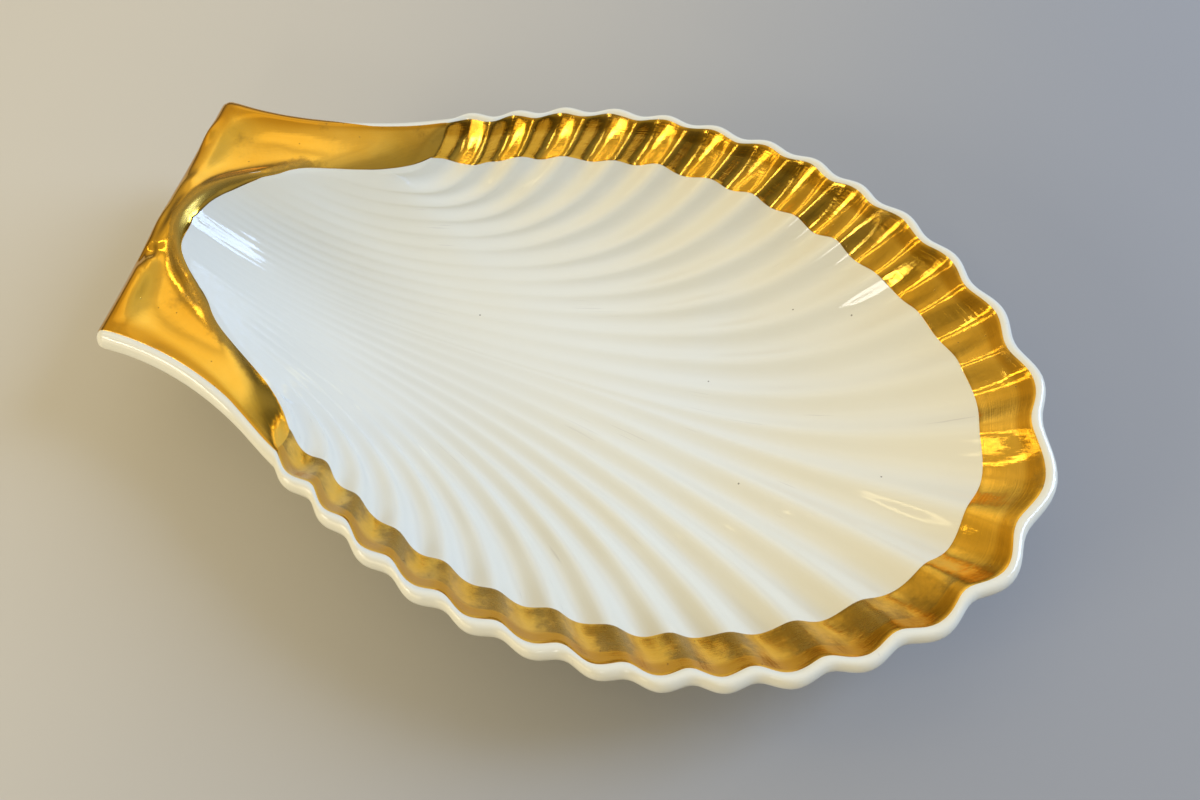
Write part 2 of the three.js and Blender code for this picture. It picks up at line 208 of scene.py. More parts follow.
def pointAt(line, t):
    a, b, c, d = (line[..., k, :] for k in range(4))
    t = t[..., None]
    u = 1 - t
    return u**3 * a + 3 * u * u * t * b + 3 * u * t * t * c + t**3 * d


def rimReach(line):               # length that a line would have at its pace on the rim
    return 3 * np.linalg.norm(line[..., 3, :] - line[..., 2, :], axis=-1)


def columnLine(column):           # the fan, then the wall beside it, then the ear to the tab's side
    size = (halfLength, halfWidth)
    beyond = np.abs(column) - lastNotch
    side = np.stack([np.ones_like(column), np.sign(column)], -1)[..., None, :]
    fan = fanLine(np.clip(column, -lastNotch, lastNotch))
    ridge = np.array(ridgeGuideShares) * size * side
    edge = np.array(sideGuideShares) * size * side
    wall = mix(fan, ridge, np.clip(beyond, 0, 1)[..., None, None])
    return mix(wall, edge, np.clip(beyond - 1, 0, 1)[..., None, None])


def rimTable():                   # rim seen from the deepest point: direction, distance, height
    s = np.linspace(0, lastNotch, samples["lip"])
    plan = notchLine(s)[:, :2]
    away = plan - (bowlCentre, 0)
    inward = (shell["lipRound"] - rimPoint(s)[1] / 2) / np.linalg.norm(away, axis=1)
    lip = np.column_stack([plan - away * inward[:, None], np.full_like(s, crest)])
    ridge = curveThrough(ridgeShares, np.linspace(0, len(ridgeShares) - 1, samples["ridge"]))
    ridge = ridge * (halfLength, halfWidth, shell["ridgeSwing"]) + (0, 0, crest)
    points = np.vstack([lip, ridge])
    away = points[:, :2] - (bowlCentre, 0)
    angles = np.maximum.accumulate(np.abs(np.arctan2(away[:, 1], away[:, 0])))
    even = np.linspace(0, np.pi, samples["directions"])
    reach = blur["reach"]
    spread = np.exp(-0.5 * (np.arange(-reach, reach + 1) / blur["width"]) ** 2)
    table = [even]
    for values in (np.linalg.norm(away, axis=1), points[:, 2]):
        ring = np.interp(even, angles, values)
        padded = np.concatenate([ring[reach:0:-1], ring, ring[-2:-reach - 2:-1]])
        table.append(np.convolve(padded, spread / spread.sum(), "valid"))
    return table


rimAngles, rimDistances, rimHeights = rimTable()


def bowlPlace(points):            # q is 0 at the deepest point and 1 on the crest or the ridge
    away = points - (bowlCentre, 0)
    angle = np.abs(np.arctan2(away[..., 1], away[..., 0]))
    radius = np.interp(angle, rimAngles, rimDistances)
    height = np.interp(angle, rimAngles, rimHeights)
    end = mix(bowl["wideEnd"], bowl["beak"], smoothStep((angle - bowl["beakFrom"]) / bowl["beakRun"]))
    steep = mix(end, bowl["sides"], np.sin(angle) ** 2)
    return np.linalg.norm(away, axis=-1) / radius, radius, height, steep


def finishedPlan(points):         # tab end out of square, and its corners rounded
    corner = shell["cornerRound"]
    cornerX = corner - halfLength
    cornerY = sideGuideShares[0][1] * halfWidth - corner
    u = np.maximum(0, (cornerX - points[..., 0]) / corner)
    v = np.maximum(0, (np.abs(points[..., 1]) - cornerY) / corner)
    pull = np.where((u > 0) & (v > 0), np.maximum(u, v) / np.maximum(np.hypot(u, v), tiny), 1)
    x = points[..., 0] + u * (1 - pull) * corner
    y = points[..., 1] - np.sign(points[..., 1]) * v * (1 - pull) * corner
    tabStart = ridgeGuideShares[-1][0]
    along = np.clip((x / halfLength - tabStart) / (-1 - tabStart), 0, 1)
    return np.stack([x - shell["tabSkew"] * along * y / (cornerY + corner), y], -1)


def withoutRepeats(line):
    steps = np.linalg.norm(np.diff(line, axis=0), axis=1)
    return line[np.append(steps > tiny, True)]


def makeSideLine():               # the outline without the end of the tab
    s = np.linspace(-lastNotch, lastNotch, samples["outline"])
    side = np.linspace(0, 1, samples["side"])
    beside = np.linspace(lastNotch, tabSide, samples["wall"])
    flanks = []
    for k in (-1, 1):
        ear = pointAt(columnLine(np.full_like(side, k * tabSide)), side)
        wall = pointAt(columnLine(k * beside), np.ones_like(beside))
        flanks.append(np.vstack([ear, wall[::-1]]))
    return withoutRepeats(np.vstack([flanks[0], rimPoint(s)[0], flanks[1][::-1]]))


sideLine = makeSideLine()
tabEnd = np.linspace(1, -1, samples["end"])[:, None] * (0, sideGuideShares[0][1] * halfWidth)
tabEnd = tabEnd - (halfLength, 0)
outline = withoutRepeats(finishedPlan(np.vstack([sideLine, tabEnd])))
shift = -(outline[:, 0].min() + outline[:, 0].max()) / 2 + (bodyHigh.x + bodyLow.x) / 2


def edgeDistance(points, line=outline):
    starts, steps = line[:-1], np.diff(line, axis=0)
    lengths = (steps**2).sum(1)
    near = []
    for part in np.array_split(points.reshape(-1, 2), 1 + points.size // samples["atOnce"]):
        away = part[:, None] - starts
        along = np.clip((away * steps).sum(2) / lengths, 0, 1)
        near.append(np.linalg.norm(away - along[..., None] * steps, axis=2).min(1))
    return np.concatenate(near).reshape(points.shape[:-1])


def flutePitch(s, t):
    low, high = lobeSides(s)
    across = pointAt(fanLine(high), t) - pointAt(fanLine(low), t)
    nudge = 0.01
    run = pointAt(fanLine(s), t + nudge) - pointAt(fanLine(s), t)
    area = np.abs(run[..., 0] * across[..., 1] - run[..., 1] * across[..., 0])
    return area / np.linalg.norm(run, axis=-1) / (high - low)


def channelDepth(column, t, q):   # as deep at the rim as keeps the crest level from lobe to lobe
    s = np.clip(column, -lastNotch, lastNotch)
    rim = notchLine(s)[..., :2]
    _, radius, height, steep = bowlPlace(rim)
    slope = steep * (height - bowlFloor) / radius
    crisp = smoothStep((t - bowl["crispFrom"]) / bowl["crispRun"])
    soft = mix(shell["innerSoftness"], shell["lobeSoftness"], crisp)
    shape = lobeShape(s, soft, mix(shell["innerPower"], shell["lobePower"], crisp))
    depth = rimPoint(s)[1] * slope * shape * flutePitch(s, t) / flutePitch(s, np.ones_like(t))
    midFrom = bowl["midFrom"][0] + bowl["midFrom"][1] * np.abs(s) / lastNotch
    relief = mix(bowl["beakRelief"], bowl["midRelief"], smoothStep((t - midFrom) / bowl["midRun"]))
    relief = mix(relief, 1, smoothStep((t - bowl["rimFrom"]) / bowl["rimRun"]))
    inScoop = smoothStep((t - bowl["scoopFrom"]) / bowl["scoopRun"]) * smoothStep((1 - t) / bowl["scoopEnd"])
    relief = relief + bowl["scoop"] * inScoop
    fade = np.where(t > bowl["fadeUntil"], 1, smoothStep((1 - q) / bowl["fluteFade"]))
    return np.where(np.abs(column) < lastNotch, depth * relief * fade, 0)


def roundFall(edge, radius):
    return radius - np.sqrt(radius**2 - np.clip(radius - edge, 0, radius) ** 2)


def softPositive(v):
    return (v + np.sqrt(v * v + shell["earOnset"])) / 2


def upperHeight(bare, edge, channel):
    q, radius, height, steep = bowlPlace(bare)
    rise = np.where(q < 1, q**steep, 1 + steep * (q - 1))
    inner = bowlFloor + (height - bowlFloor) * rise - channel
    fromEnd = bare[..., 0] + halfLength
    onTab = smoothStep((-shell["tabFrom"] * halfLength - bare[..., 0]) / shell["tabRun"])
    fromSide = edgeDistance(bare, sideLine) - shell["lipRound"]
    fromFacet = mix(halfLength, fromEnd - shell["facetWidth"], onTab)
    hollowFrom = softMin(fromSide, fromFacet, shell["earBlend"])
    fromEdge = 1 - np.exp(-softPositive(hollowFrom) / shell["earSoftness"])
    slope = (crest - height - shell["earDish"] * fromEdge) / shell["earSoftness"]
    beyond = (q - 1) * radius
    levelling = shell["earSoftness"] * (1 - np.exp(-beyond / shell["earSoftness"]))
    away = np.where(beyond > 0, levelling, beyond)
    outer = height + slope * away
    onFacet = np.clip(1 - fromEnd / shell["facetWidth"], 0, 1)
    facet = onFacet ** shell["facetPower"] * shell["facetDrop"]
    blend = mix(shell["crestBlend"], shell["ridgeBlend"], onTab)
    return softMin(inner, outer, blend) - roundFall(edge, shell["lipRound"]) - facet


def lowerHeight(bare, edge, channel, top):
    q, radius, height, steep = bowlPlace(bare)
    rise = np.where(q < 1, q**steep, 1 + steep * (q - 1))
    slope = steep * np.minimum(1, q) ** (steep - 1) * (height - bowlFloor) / radius
    fadeIn = smoothStep((q - bowl["underFrom"]) / (bowl["underTo"] - bowl["underFrom"]))
    under = bowlFloor + (height - bowlFloor) * rise - channel * fadeIn
    under = under - shell["wall"] * np.hypot(1, slope)
    rimUnder = crest - shell["lipRound"] - shell["nose"]
    hollow = shell["earDish"] * (1 - np.exp(-edge / shell["earSoftness"]))
    tabUnder = crest - shell["tabThickness"] - hollow
    onTab = smoothStep((-shell["underTabFrom"] * halfLength - bare[..., 0]) / shell["underTabRun"])
    lower = softMin(under, mix(rimUnder, tabUnder, onTab), shell["underBlend"])
    return np.minimum(lower + roundFall(edge, shell["noseRound"]), top - shell["leastWall"])


def rowPlaces(column):            # where the rows cross each column's line, from tab end to rim
    counts = bodyGrid["rows"]
    line = columnLine(column)
    firstReach = 3 * np.linalg.norm(line[:, 1] - line[:, 0], axis=1)
    lastReach = rimReach(line)
    fan = fanLine(np.clip(column, -lastNotch, lastNotch))
    outside, inside = np.zeros(len(column)), np.full(len(column), 0.5)
    for _ in range(bodyGrid["halvings"]):
        middle = (outside + inside) / 2
        beyond = bowlPlace(pointAt(fan, middle))[0] > 1
        outside, inside = np.where(beyond, middle, outside), np.where(beyond, inside, middle)
    ridge = inside
    lip = shell["lipRound"]
    turn = 1 - np.cos(np.linspace(0, np.pi / 2, counts["lip"]))
    share = {name: np.linspace(0, 1, counts[name] + 1)[1:] for name in ("tab", "bowl", "band")}
    ends = lip * turn / firstReach[:, None]
    tab = mix(ends[:, -1:], ridge[:, None], share["tab"] ** bodyGrid["tabCrowding"])
    bandStart = 1 - gilt["width"] / lastReach[:, None]
    inner = mix(ridge[:, None], bandStart, share["bowl"] ** bodyGrid["bowlCrowding"])
    band = 1 - mix(gilt["width"], lip, share["band"]) / lastReach[:, None]
    rim = 1 - lip * turn[-2::-1] / lastReach[:, None]
    return line, np.hstack([ends, tab, inner, band, rim])


dentMargin = 2                    # dents fade out this close to the outline
# Unevenness of the tab: place, reach along and across, turn in degrees, rise.
tabDents = [
    (-115, -5.5, 6.0, 2.6, 78, 1.0), (-110.2, -12.6, 2.3, 2.0, 0, -1.4),
    (-112.6, -14.6, 4.6, 1.3, -38, -0.8), (-113.8, -25, 8.5, 2.2, 93, -0.9),
    (-102.5, -25.5, 6.5, 3.8, -50, -0.35), (-106.5, -33, 4.2, 2.6, -20, -0.3),
    (-109.8, -22, 9, 2.4, 90, 0.4), (-115.5, 26, 4.6, 2.0, 88, 1.0),
    (-111, 9.5, 3.6, 2.6, 75, 0.7), (-101, 31, 9, 4, 30, -0.3),
    (-108.3, -2.5, 8, 2.3, 86, 0.6),
]


def dentAt(plan, edge):
    rise = 0
    for x, y, along, across, turn, depth in tabDents:
        turn = math.radians(turn)
        away = plan - (x, y)
        u = (away[..., 0] * math.cos(turn) + away[..., 1] * math.sin(turn)) / along
        v = (away[..., 1] * math.cos(turn) - away[..., 0] * math.sin(turn)) / across
        rise = rise + depth * np.exp(-u * u - v * v)
    return rise * smoothStep(edge / dentMargin)


gilt = dict(
    width=14.3,             # inner edge of the gilding, in from the outline
    ribWidth=13,            # the same on a rib
    endWidth=13.2,          # the same on the last rib, beside the tab
    endFrom=10.5,           # lobe from which the width goes over to that
    endRun=3,
    wander=0.35,            # unsteadiness of the brush
    outerWander=0.12,
    clear=0.1,              # outer face above the glaze
    edgeClear=0.04,
    thickness=0.07,
    gap=0.004,              # half the parting between the rim's film and the tab's
    endInset=0.6,           # the film runs over the end of the tab almost to its edge
    farInset=1.0,           # and over its far side, but not over the near one
    insetRun=0.3,
    beakInset=1.9,          # extra reach of the tab's film into the bowl at the beak
    farBeakFrom=0.6,        # where it begins on the far ear, and on the near one
    nearBeakFrom=0.8,
    beakRun=0.2,
    ridgeOnRib=7,           # where the ridge leaves the last rib, in from the outline
    cornerAt=0.667,         # where the strip of the tab's film turns its corner, notch to beak
    leaving=(-60, -21),     # how the strip's outer edge sets off from the last rib
    leaveRun=0.1,
    joinRun=0.12,           # share of the strip over which its rows come away from the rib
    rimColumns=28 * lobeCount + 1,
    rimRows=26,
    tabColumns=280,
    ridgeRows=16,
    earRows=34,
    earCrowding=1.6,        # above 1, rows lie closer to the outer edge
)
# Inner edge of the tab's gilding, from the last rib to the beak, as shares of length and width.
tabEdgeShares = [
    (-0.51, 0.56), (-0.553, 0.508), (-0.604, 0.452), (-0.68, 0.392), (-0.757, 0.327),
    (-0.798, 0.267), (-0.832, 0.226), (-0.885, 0.158), (-0.918, 0.084), (-0.934, 0),
]
bodyGrid = dict(
    lobeColumns=14,
    sideColumns=24,
    rows=dict(lip=9, tab=22, bowl=62, band=14),
    tabCrowding=1.6,        # above 1, rows lie closer to the end of the tab, and to the ridge
    bowlCrowding=1.2,
    halvings=30,            # steps in the search for the ridge along a line
)


def deselectAll():
    if bpy.context.object and bpy.context.object.mode == "EDIT":
        bpy.ops.object.mode_set(mode="OBJECT")
    bpy.ops.object.select_all(action="DESELECT")


def newGrid(name, across, along):
    deselectAll()
    bpy.ops.mesh.primitive_grid_add(x_subdivisions=across - 1, y_subdivisions=along - 1, size=1)
    piece = bpy.context.object
    piece.name = name
    piece.data.name = name
    return piece


def setPoints(piece, points, first=0):
    places = np.empty(len(piece.data.vertices) * 3)
    piece.data.vertices.foreach_get("co", places)
    points = (np.asarray(points).reshape(-1, 3) + (shift, 0, 0)) * mm
    places[first * 3:first * 3 + points.size] = points.ravel()
    piece.data.vertices.foreach_set("co", places)
    piece.data.update()


def thicken(piece, thickness):
    wall = piece.modifiers.new("wall", "SOLIDIFY")
    wall.thickness = thickness * mm
    wall.offset = -1
    bpy.context.view_layer.objects.active = piece
    bpy.ops.object.modifier_apply(modifier="wall")


creaseAngle = 60                  # degrees, past which an edge stays sharp


def settle(piece, node, finish):    # shading, material, and the piece's place in the frame
    deselectAll()
    piece.select_set(True)
    bpy.context.view_layer.objects.active = piece
    bpy.ops.object.shade_smooth_by_angle(angle=math.radians(creaseAngle))
    piece.data.materials.clear()
    piece.data.materials.append(finish)
    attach(piece, "root")
    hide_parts(node)
    print("made", piece.name, len(piece.data.polygons), "faces")


def surfaceAt(bare, column=None, t=None, edge=None):
    plan = finishedPlan(bare)
    edge = edgeDistance(plan) if edge is None else edge
    channel = 0 if column is None else channelDepth(column, t, bowlPlace(bare)[0])
    return plan, edge, channel, upperHeight(bare, edge, channel) + dentAt(plan, edge)


def makeBody():
    lobes = np.arange(-lastNotch, lastNotch + tiny, 1 / bodyGrid["lobeColumns"])
    sides = np.linspace(0, tabSide - lastNotch, bodyGrid["sideColumns"] + 1)[1:]
    column = np.concatenate([-lastNotch - sides[::-1], lobes, lastNotch + sides])
    line, t = rowPlaces(column)
    bare = pointAt(line[:, None], t)
    columns = np.broadcast_to(column[:, None], t.shape)
    edge = edgeDistance(finishedPlan(bare))
    edge[[0, -1]] = 0
    edge[:, [0, -1]] = 0
    plan, edge, channel, top = surfaceAt(bare, columns, t, edge)
    low = lowerHeight(bare, edge, channel, top)
    piece = newGrid("porcelainBody", t.shape[1], len(column))
    upper = np.dstack([plan, top])
    setPoints(piece, upper)
    thicken(piece, shell["wall"])
    setPoints(piece, np.dstack([plan, low]), first=upper.size // 3)
    return piece


def layOnGlaze(piece, across, along):    # a film lies just above the glaze, and its edges sink into it
    numbers = np.arange(across * along).reshape(along, across)
    group = piece.vertex_groups.new(name="inside")
    group.add(numbers.ravel().tolist(), gilt["edgeClear"] / gilt["clear"], "REPLACE")
    group.add(numbers[:, 1:-1].ravel().tolist(), 1, "REPLACE")
    lift = piece.modifiers.new("lift", "DISPLACE")
    lift.mid_level = 0
    lift.strength = gilt["clear"] * mm
    lift.vertex_group = "inside"
    bpy.ops.object.modifier_apply(modifier="lift")
    thicken(piece, gilt["thickness"])


# Waves of an unsteady brush: rate, size and phase. Then the pace and seed of each edge it draws.
brushWaves = [(0.7, 1.0, 1.7), (1.9, 0.6, 2.7), (4.3, 0.45, 3.7), (9.1, 0.2, 4.7)]
brushEdges = dict(inner=(1, 3), outer=(1.7, 8), tab=(9, 5))


def brushWander(s, edge):
    pace, seed = brushEdges[edge]
    return sum(size * np.sin(rate * (s * pace) + seed * phase) for rate, size, phase in brushWaves)


def makeRimFilm():
    reach = lastNotch - gilt["gap"] / meanPitch
    column = np.linspace(-reach, reach, gilt["rimColumns"])
    line = columnLine(column)
    lastReach = rimReach(line)
    inner = mix(gilt["ribWidth"], gilt["width"], lobeShape(column))
    inner = mix(inner, gilt["endWidth"], smoothStep((np.abs(column) - gilt["endFrom"]) / gilt["endRun"]))
    steady = smoothStep(lastNotch - np.abs(column))
    inner = inner + gilt["wander"] * brushWander(column, "inner") * steady
    outer = shell["lipRound"] + gilt["outerWander"] * brushWander(column, "outer") * steady
    distance = mix(inner[:, None], outer[:, None], np.linspace(0, 1, gilt["rimRows"]))
    t = 1 - distance / lastReach[:, None]
    bare = pointAt(line[:, None], t)
    plan, _, _, top = surfaceAt(bare, np.broadcast_to(column[:, None], t.shape), t)
    piece = newGrid("rimGilding", t.shape[1], len(column))
    setPoints(piece, np.dstack([plan, top]))
    layOnGlaze(piece, t.shape[1], len(column))
    return piece


def tabRows(side):                # rows of the strip over one ear, from the last rib to the beak
    size = (halfLength, halfWidth)
    onFarEar = side > 0
    inset = gilt["farInset"] if onFarEar else shell["lipRound"]
    beakFrom = gilt["farBeakFrom"] if onFarEar else gilt["nearBeakFrom"]
    rib = columnLine(np.array([lastNotch + gilt["gap"] / meanPitch]))[0]
    lastReach = rimReach(rib)
    toRidge = np.linspace(0, 1, gilt["ridgeRows"])
    toEdge = 1 - (1 - np.linspace(0, 1, gilt["earRows"] + 1)[1:]) ** gilt["earCrowding"]
    bowlSide = mix(gilt["endWidth"], gilt["ridgeOnRib"], toRidge)
    earSide = mix(gilt["ridgeOnRib"], shell["lipRound"], toEdge)
    onRib = pointAt(rib, 1 - np.concatenate([bowlSide, earSide]) / lastReach)
    half = np.linspace(0, 1, gilt["tabColumns"] // 2 + 1)
    innerRows = np.array(tabEdgeShares) * size
    ridgeRows = np.array(ridgeShares)[:, :2] * size
    innerRows[0], ridgeRows[0] = onRib[0], onRib[gilt["ridgeRows"] - 1]
    inner = curveThrough(innerRows, half * (len(innerRows) - 1))
    wander = gilt["wander"] * brushWander(half, "tab") * half * (1 - half)
    toBeak = gilt["beakInset"] * smoothStep((half - beakFrom) / gilt["beakRun"])
    inner = inner + np.stack([toBeak, wander], -1)
    ridge = curveThrough(ridgeRows, half * (len(ridgeRows) - 1))
    edge = pointAt(np.array(sideGuideShares) * size, 1 - half / gilt["cornerAt"])
    along = np.gradient(edge, axis=0)
    across = np.stack([along[:, 1], -along[:, 0]], -1) / np.linalg.norm(along, axis=1)[:, None]
    edge = edge - across * mix(shell["lipRound"], inset, smoothStep(half / gilt["insetRun"]))[:, None]
    edge[:, 0] = np.maximum(edge[:, 0], gilt["endInset"] - halfLength)
    cornerY = sideGuideShares[0][1] * halfWidth - inset
    endShare = (1 - half) / (1 - gilt["cornerAt"])
    end = np.stack([np.full_like(half, gilt["endInset"] - halfLength), cornerY * endShare], -1)
    outer = np.where((half < gilt["cornerAt"])[:, None], edge, end)
    leaving = onRib[-1] + half[:, None] * gilt["leaving"]
    outer = mix(leaving, outer, smoothStep(half / gilt["leaveRun"])[:, None])
    rows = [mix(inner, ridge, toRidge[:, None, None]), mix(ridge, outer, toEdge[:, None, None])]
    rows = np.concatenate(rows)
    rows = rows + (onRib[:, None] - rows[:, :1]) * (1 - smoothStep(half / gilt["joinRun"]))[:, None]
    return rows * (1, side)


def makeTabFilm():
    rows = np.concatenate([tabRows(1), tabRows(-1)[:, -2::-1]], axis=1)
    bare = rows.transpose(1, 0, 2)
    plan, _, _, top = surfaceAt(bare)
    piece = newGrid("tabGilding", bare.shape[1], bare.shape[0])
    setPoints(piece, np.dstack([plan, top]))
    layOnGlaze(piece, bare.shape[1], bare.shape[0])
    return piece


foot = dict(
    width=5,
    cornerPower=0.45,       # 1 gives a round section, 0 a square one
    flare=1.2,              # how far the luted joint spreads under the bowl
    sink=0.25,              # the top runs this far into the glaze of the bowl
    around=192,
    section=28,
)


def makeFoot(body):
    underside = BVHTree.FromObject(body, bpy.context.evaluated_depsgraph_get())
    deselectAll()
    bpy.ops.mesh.primitive_torus_add(
        major_segments=foot["around"], minor_segments=foot["section"],
        major_radius=1, minor_radius=0.25)
    piece = bpy.context.object
    piece.name = piece.data.name = "footRing"
    middle = (footLow + footHigh) / 2
    reachX = (footHigh.x - footLow.x) / 2 - foot["width"] / 2
    reachY = (footHigh.y - footLow.y) / 2 - foot["width"] / 2
    for vertex in piece.data.vertices:
        x, y, z = vertex.co
        ring = math.hypot(x, y)
        turn = math.atan2(y, x)
        section = math.atan2(z, ring - 1)
        side, up = (math.copysign(abs(v) ** foot["cornerPower"], v)
                    for v in (math.cos(section), math.sin(section)))
        rise = 0.5 + 0.5 * up
        spread = foot["width"] / 2 * side + foot["flare"] * side * max(0, up) ** 2
        outX, outY = math.cos(turn) / reachX, math.sin(turn) / reachY
        size = math.hypot(outX, outY)
        place = Vector((middle.x + reachX * math.cos(turn) + spread * outX / size,
                        middle.y + reachY * math.sin(turn) + spread * outY / size, -1))
        hit = underside.ray_cast(place * mm, Vector((0, 0, 1)))[0]
        vertex.co = Vector((place.x, place.y, rise * (hit.z / mm + foot["sink"]))) * mm
    return piece


class Socket:                     # an output in a material, on which arithmetic adds Math nodes
    def __init__(self, finish, output):
        self.finish, self.output = finish, output

    def maths(self, operation, a, b):
        return self.finish.add("Math", {"operation": operation}, {0: a, 1: b})

    def __add__(self, other):
        return self.maths("ADD", self, other)

    def __sub__(self, other):
        return self.maths("SUBTRACT", self, other)

    def __rsub__(self, other):
        return self.maths("SUBTRACT", other, self)

    def __mul__(self, other):
        return self.maths("MULTIPLY", self, other)

    def above(self, low, high):   # smooth step from 0 at low to 1 at high
        ends = {"Value": self, "From Min": low, "From Max": high}
        return self.finish.add("MapRange", {"interpolation_type": "SMOOTHSTEP"}, ends)

    __radd__ = __add__
    __rmul__ = __mul__


class Finish:                     # a material or the world, whose nodes are all added by one method
    def __init__(self, owner, shader="Principled BSDF", **constants):
        owner.use_nodes = True
        self.owner, self.tree = owner, owner.node_tree
        self.shader = self.tree.nodes[shader]
        self.join(self.shader, constants)

    def join(self, node, inputs):
        for name, value in inputs.items():
            if isinstance(value, Socket):
                self.tree.links.new(value.output, node.inputs[name])
            else:
                node.inputs[name].default_value = value

    def add(self, kind, settings, inputs, output=0):
        node = self.tree.nodes.new("ShaderNode" + kind)
        for name, value in settings.items():
            setattr(node, name, value)
        self.join(node, inputs)
        return Socket(self, node.outputs[output])

    def noise(self, place, scale, detail=3, roughness=0.5):
        inputs = {"Vector": place, "Scale": scale, "Detail": detail, "Roughness": roughness}
        return self.add("TexNoise", {}, inputs)

    def across(self, place, direction):    # how far a place or direction lies towards another one
        inputs = {0: place, 1: direction}
        return self.add("VectorMath", {"operation": "DOT_PRODUCT"}, inputs, output="Value")

    def stretched(self, place, scale):
        return self.add("VectorMath", {"operation": "MULTIPLY"}, {0: place, 1: scale})

    def blend(self, share, a, b):
        return self.add("Mix", {"data_type": "RGBA"}, {"Factor": share, 6: a, 7: b}, output=2)

    def specks(self, place, scale, reach, share):     # round dots in some cells of a Voronoi pattern
        inPlan, cells = {"voronoi_dimensions": "2D"}, {"Vector": place, "Scale": scale}
        near = 1 - self.add("TexVoronoi", inPlan, cells).above(reach * 0.6, reach)
        chosen = self.add("TexVoronoi", inPlan, cells, output="Color")
        return near * self.add("SeparateColor", {}, {0: chosen}).above(1 - share, 1.001 - share)

    def relief(self, height, depth):
        normal = self.add("Bump", {}, {"Height": height, "Distance": depth * mm, "Strength": 1})
        self.join(self.shader, {"Normal": normal})


glaze = dict(
    cool=(0.757, 0.75, 0.655, 1),
    warm=(0.772, 0.75, 0.625, 1),
    mark=(0.42, 0.39, 0.36, 1),     # rubbed into the bowl by use, along the flutes
    markLines=(16, 420, 1),
    markShare=0.3,
    speck=(0.13, 0.10, 0.08, 1),
    specks=(62, 0.017, 0.08),       # cells in a metre, reach in a cell, share of cells
    speckShare=0.8,
    roughness=0.06,
    smeared=0.09,                   # what smears and marks add to it
    marked=0.2,
    ripple=0.09,
)


def glazedPorcelain():
    finish = Finish(bpy.data.materials.new("glazed porcelain"), IOR=1.5)
    place = finish.add("TexCoord", {}, {}, output="Object")
    onGrid = finish.add("TexCoord", {}, {}, output="UV")
    cloud = finish.noise(place, 14, 2).above(0.35, 0.65)
    colour = finish.blend(cloud, glaze["cool"], glaze["warm"])
    lines = finish.noise(finish.stretched(onGrid, glaze["markLines"]), 1, 2).above(0.66, 0.74)
    marks = lines * finish.noise(place, 55, 2).above(0.52, 0.62)
    colour = finish.blend(marks * glaze["markShare"], colour, glaze["mark"])
    dots = finish.specks(place, *glaze["specks"])
    colour = finish.blend(dots * glaze["speckShare"], colour, glaze["speck"])
    smears = finish.noise(place, 32, 5, 0.6).above(0.5, 0.75)
    roughness = glaze["roughness"] + smears * glaze["smeared"] + marks * glaze["marked"]
    finish.join(finish.shader, {"Base Color": colour, "Roughness": roughness})
    finish.relief(finish.noise(place, 95, 2) + finish.noise(place, 420, 2) * 0.08, glaze["ripple"])
    return finish.owner


footFace = dict(
    glazed=(0.82, 0.83, 0.81, 1),
    clay=(0.74, 0.70, 0.63, 1),
    dirt=(0.55, 0.49, 0.41, 1),
    dirtShare=0.6,
    stain=(0.48, 0.36, 0.24, 1),    # line where the glaze ends
    stainShare=0.5,
    stainFrom=0.0005,               # heights above the table, in metres
    bareBelow=0.0009,
    glazedAbove=0.0012,
    wobble=0.0006,
    roughness=0.08,                 # of the glaze, and what bare clay and its grain add
    bare=0.62,
    grain=0.2,
    ripple=0.05,
)


def groundPorcelain():
    finish = Finish(bpy.data.materials.new("ground porcelain"), IOR=1.5)
    place = finish.add("TexCoord", {}, {}, output="Object")
    height = finish.add("SeparateXYZ", {}, {0: place}, output="Z")
    height = height + finish.noise(place, 240, 3) * footFace["wobble"]
    bare = 1 - height.above(footFace["bareBelow"], footFace["glazedAbove"])
    line = bare * height.above(footFace["stainFrom"], footFace["bareBelow"])
    grain = finish.noise(place, 2600, 4, 0.7)
    dirt = finish.noise(place, 160, 4, 0.6).above(0.45, 0.7)
    clay = finish.blend(dirt * footFace["dirtShare"], footFace["clay"], footFace["dirt"])
    clay = finish.blend(line * footFace["stainShare"], clay, footFace["stain"])
    colour = finish.blend(bare, footFace["glazed"], clay)
    roughness = footFace["roughness"] + bare * (footFace["bare"] + grain * footFace["grain"])
    finish.join(finish.shader, {"Base Color": colour, "Roughness": roughness})
    finish.relief(grain * bare + finish.noise(place, 95, 2) * 2, footFace["ripple"])
    return finish.owner


goldLook = dict(
    deep=(0.79, 0.45, 0.045, 1),
    pale=(0.85, 0.53, 0.085, 1),
    strip=(0.50, 0.235, 0.008, 1),  # painted shade: darker gold along the outer round of the lip
    thin=(0.34, 0.20, 0.03, 1),
    bald=(0.28, 0.175, 0.03, 1),
    wornShare=0.75,
    pit=(0.16, 0.10, 0.04, 1),
    pits=(210, 0.04, 0.16),         # cells in a metre, reach in a cell, share of cells
    pitShare=0.7,
)
rimBrush = dict(ripples=0.11, streaks=(34, 190, 1), flow=(1.2, 200, 1))
tabBrush = dict(ripples=0.06, streaks=(60, 90, 1), flow=(1.2, 14, 1))


